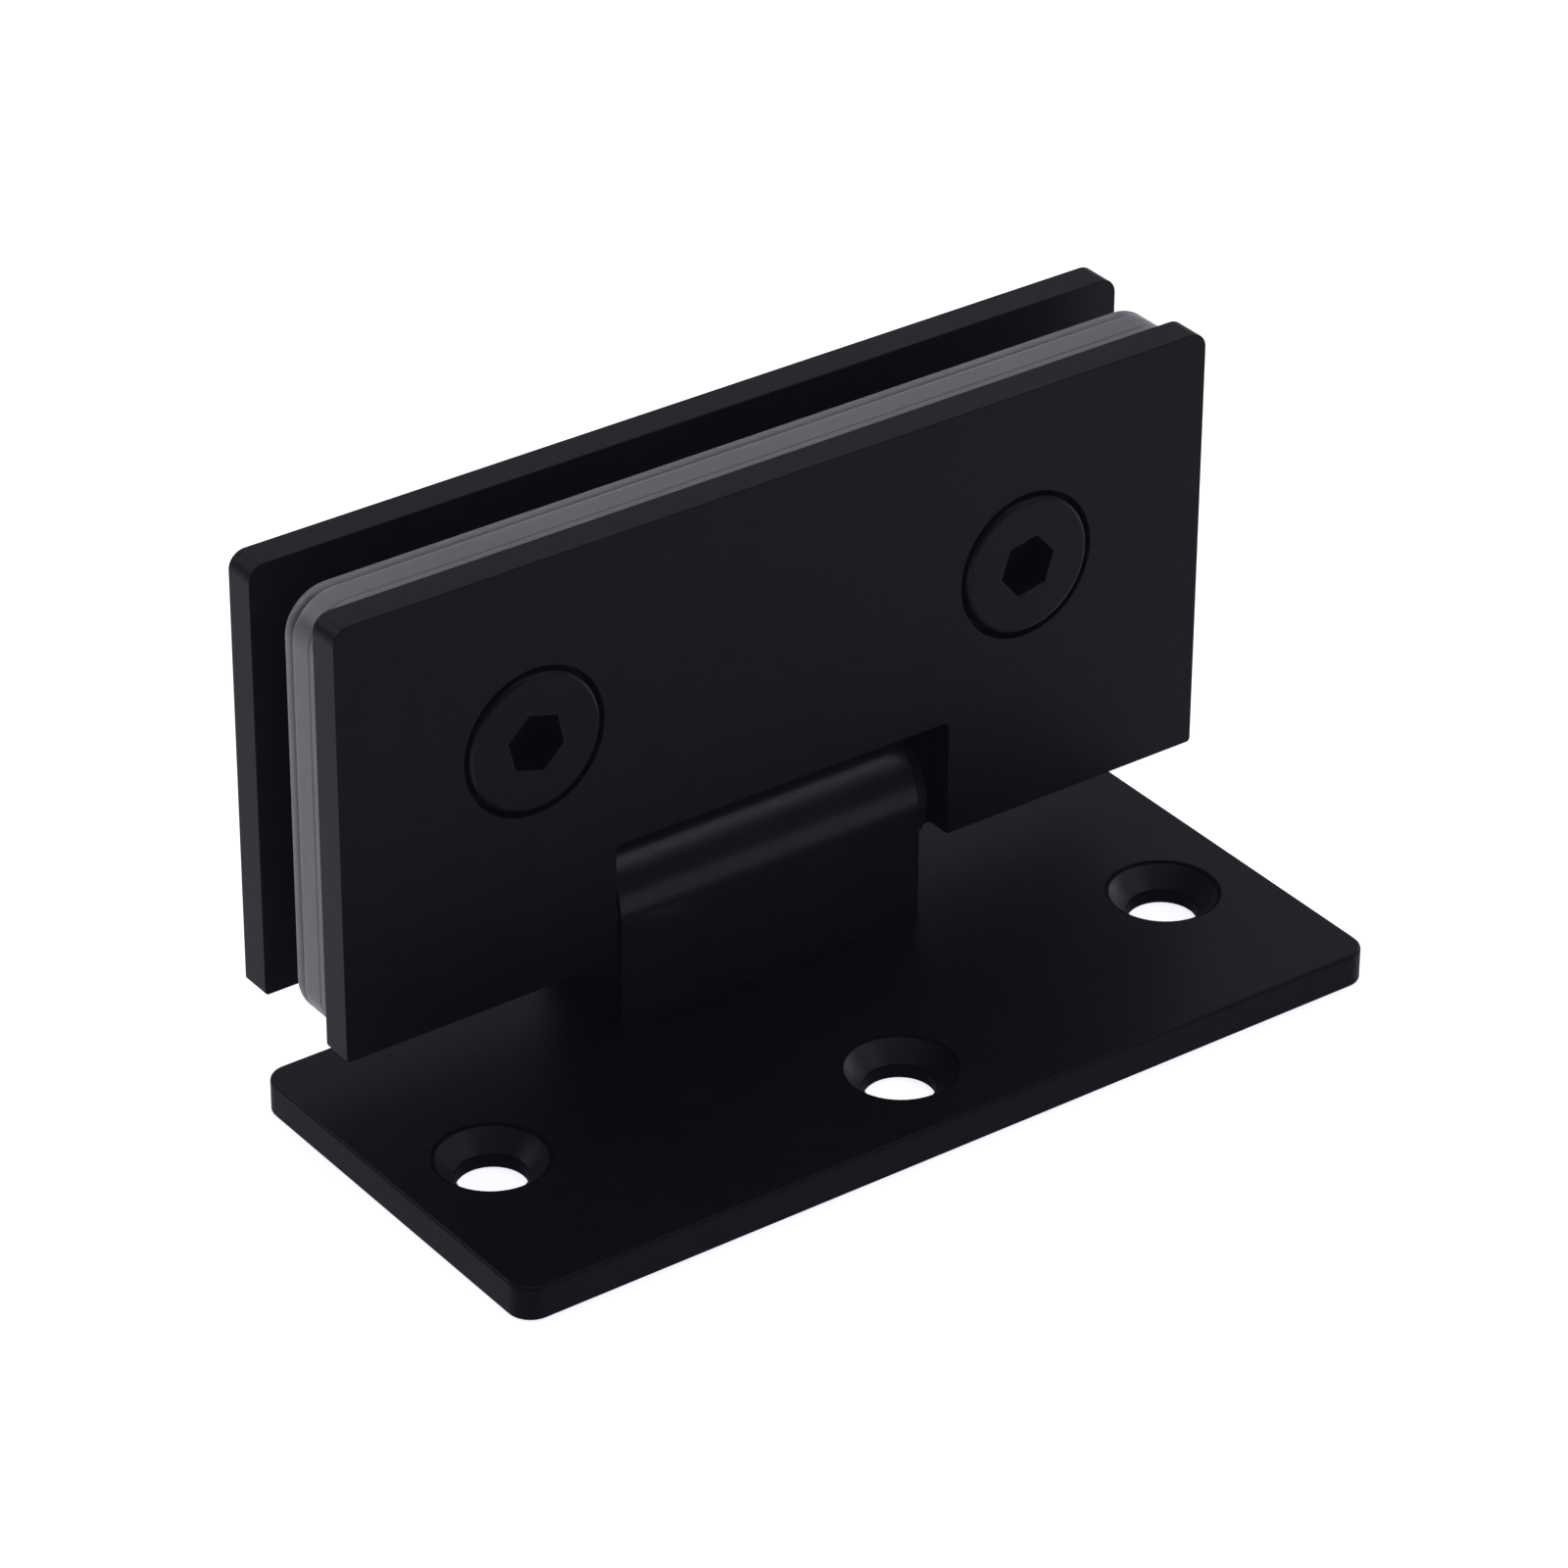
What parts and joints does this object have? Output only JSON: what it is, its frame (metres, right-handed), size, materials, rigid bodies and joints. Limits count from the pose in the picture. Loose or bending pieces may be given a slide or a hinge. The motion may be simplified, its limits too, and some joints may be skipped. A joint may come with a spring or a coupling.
{
  "type": "glass door hinge",
  "caption": "Wall-to-glass door hinge: an offset wall plate with a D-shaped knuckle carries a two-plate glass clamp on a self-centring pin.",
  "frame": {"origin": "middle of the wall plate's back face, which lies on the wall", "axes": "+X along the hinge pin and the hinge's length, +Y from the front of the hinge to the back, +Z out from the wall"},
  "size_m": [0.09, 0.0417, 0.0533],
  "materials": {
    "black_steel": "matte black powder coat on stainless steel",
    "plain_steel": "plain machined steel, hidden",
    "spring_steel": "hardened spring strip",
    "nylon": "dark nylon",
    "gasket_rubber": "translucent grey gasket sheet"
  },
  "bodies": {
    "wall_leaf": {"wall_plate": "black_steel", "knuckle_block": "black_steel", "knuckle_screws": "plain_steel", "pin_bush_left": "nylon", "pin_bush_right": "nylon", "thrust_washer_left": "nylon", "thrust_washer_right": "nylon", "spring_clip_left": "spring_steel", "spring_clip_right": "spring_steel"},
    "door_leaf": {"hinge_pin": "plain_steel", "front_clamp_plate": "black_steel", "rear_clamp_plate": "black_steel", "clamp_screw_left": "black_steel", "clamp_screw_right": "black_steel", "threaded_bush_left": "plain_steel", "threaded_bush_right": "plain_steel", "glass_sleeve_left": "nylon", "glass_sleeve_right": "nylon", "thick_gasket": "gasket_rubber", "thin_gasket": "gasket_rubber", "pin_lock_screws": "plain_steel"}
  },
  "joints": [
    {"name": "door_swing", "type": "hinge", "parent": "wall_leaf", "child": "door_leaf", "pos_m": [0, 0.0138, 0.014], "axis": [1, 0, 0], "range_deg": [-90, 90], "deforming": ["spring_clip_left", "spring_clip_right"]}
  ]
}
